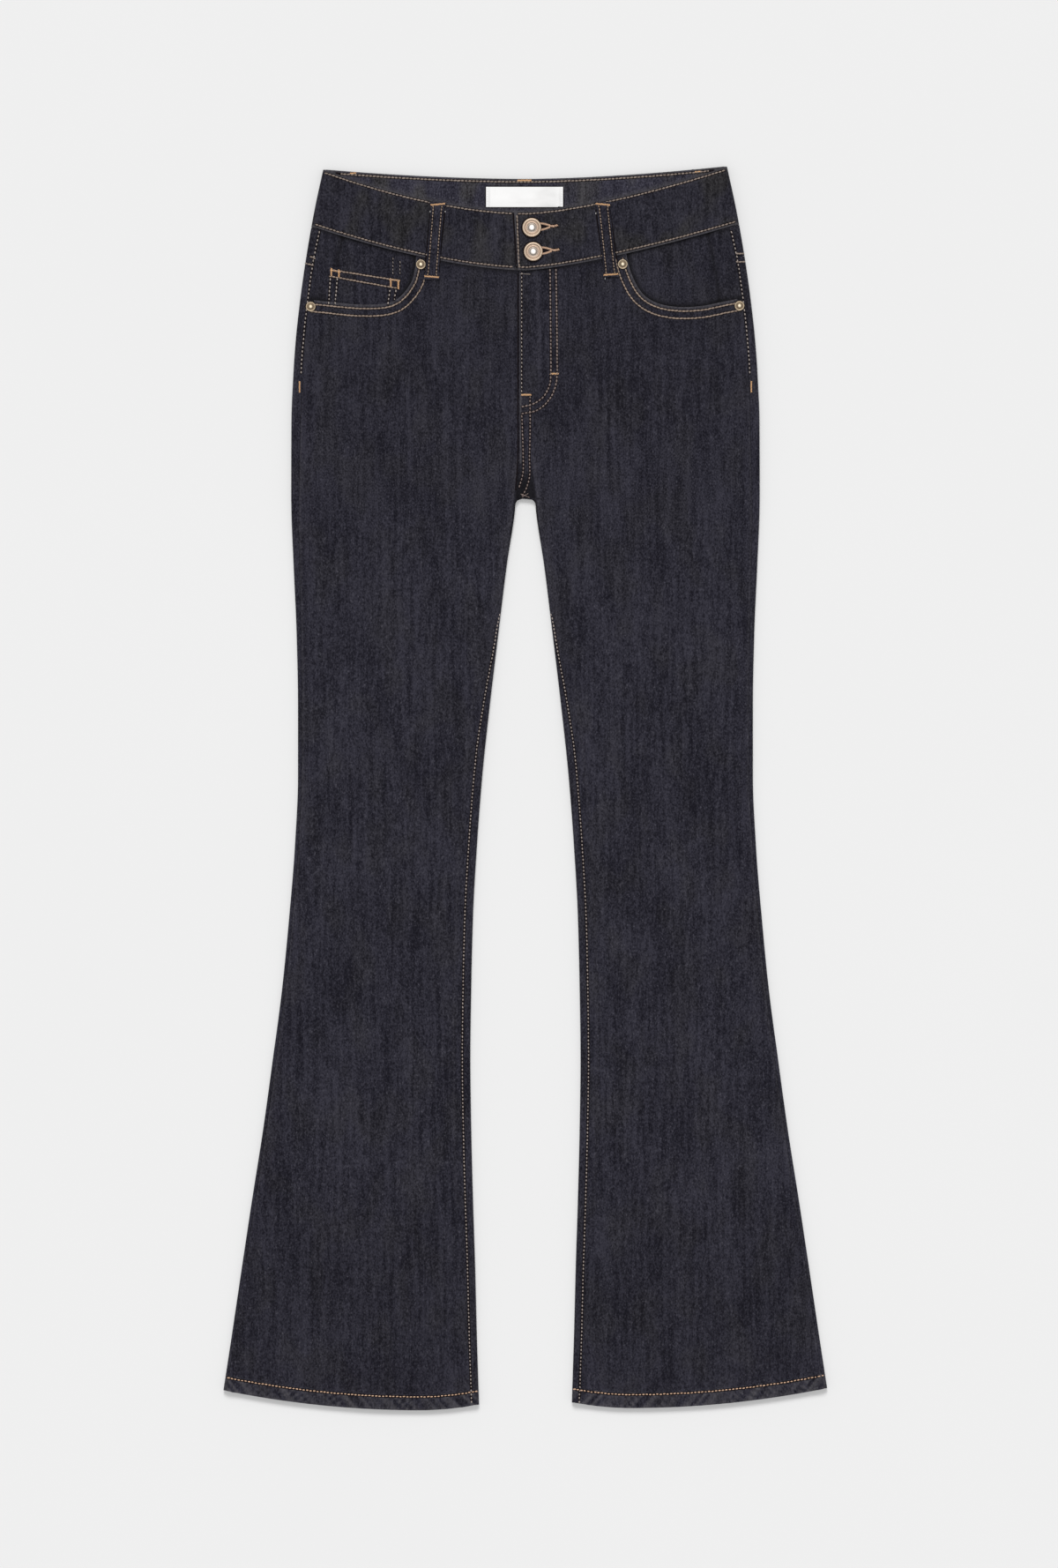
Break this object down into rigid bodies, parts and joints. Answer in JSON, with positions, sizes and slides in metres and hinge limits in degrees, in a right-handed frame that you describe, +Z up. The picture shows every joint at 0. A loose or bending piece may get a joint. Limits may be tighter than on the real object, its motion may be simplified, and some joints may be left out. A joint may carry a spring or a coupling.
{
  "type": "flared jeans",
  "caption": "Dark indigo five-pocket flared jeans with a two-button waistband, gold topstitching and copper hardware, laid flat with the front up.",
  "frame": {"origin": "centre of the bounding box on the surface that the jeans lie on", "axes": "+X towards the wearer's left, +Y from the hems towards the waist, +Z up from the surface, through the front of the jeans"},
  "size_m": [0.5409, 1.1139, 0.0129],
  "materials": {
    "denim": "matte twill, dark indigo",
    "thread": "tobacco gold topstitching thread",
    "satin": "woven satin, off-white",
    "copper": "antique copper, part polished",
    "brass": "old gold, satin"
  },
  "bodies": {
    "root": {"back_left": "denim", "back_right": "denim", "yoke_left": "denim", "yoke_right": "denim", "back_pocket_left": "denim", "back_pocket_right": "denim", "front_left": "denim", "front_right": "denim", "pocket_facing_left": "denim", "pocket_facing_right": "denim", "coin_pocket": "denim", "waistband": "denim", "belt_loop_front_left": "denim", "belt_loop_front_right": "denim", "belt_loop_back_left": "denim", "belt_loop_back_centre": "denim", "belt_loop_back_right": "denim", "label": "satin", "button_upper": "copper", "button_lower": "copper", "rivet_left_inner": "brass", "rivet_left_outer": "brass", "rivet_right_inner": "brass", "rivet_right_outer": "brass"}
  },
  "joints": []
}
